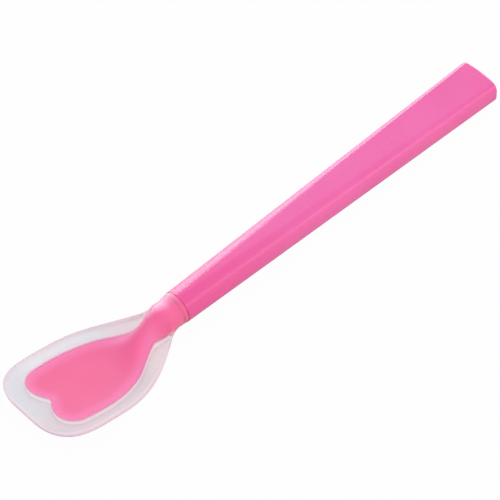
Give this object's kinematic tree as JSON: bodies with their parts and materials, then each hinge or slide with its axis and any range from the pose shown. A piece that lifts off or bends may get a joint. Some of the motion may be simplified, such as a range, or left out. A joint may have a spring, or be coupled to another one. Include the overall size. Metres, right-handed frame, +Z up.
{
  "type": "silicone spoon",
  "caption": "Long spoon with a glossy tapered handle and a shallow translucent silicone bowl moulded over a stiff heart-shaped core, for stirring and scraping.",
  "frame": {"origin": "centre of the bounding box in plan, at the table on which the spoon lies", "axes": "+X along the handle toward its end, +Z up from the table, the bowl at -X and open upward"},
  "size_m": [0.2062, 0.0374, 0.0122],
  "materials": {
    "handle_plastic": "glossy pink moulding",
    "core_plastic": "satin pink moulding",
    "clear_silicone": "milky translucent silicone, satin"
  },
  "bodies": {
    "root": {"handle": "handle_plastic", "core": "core_plastic", "silicone_head": "clear_silicone"}
  },
  "joints": []
}
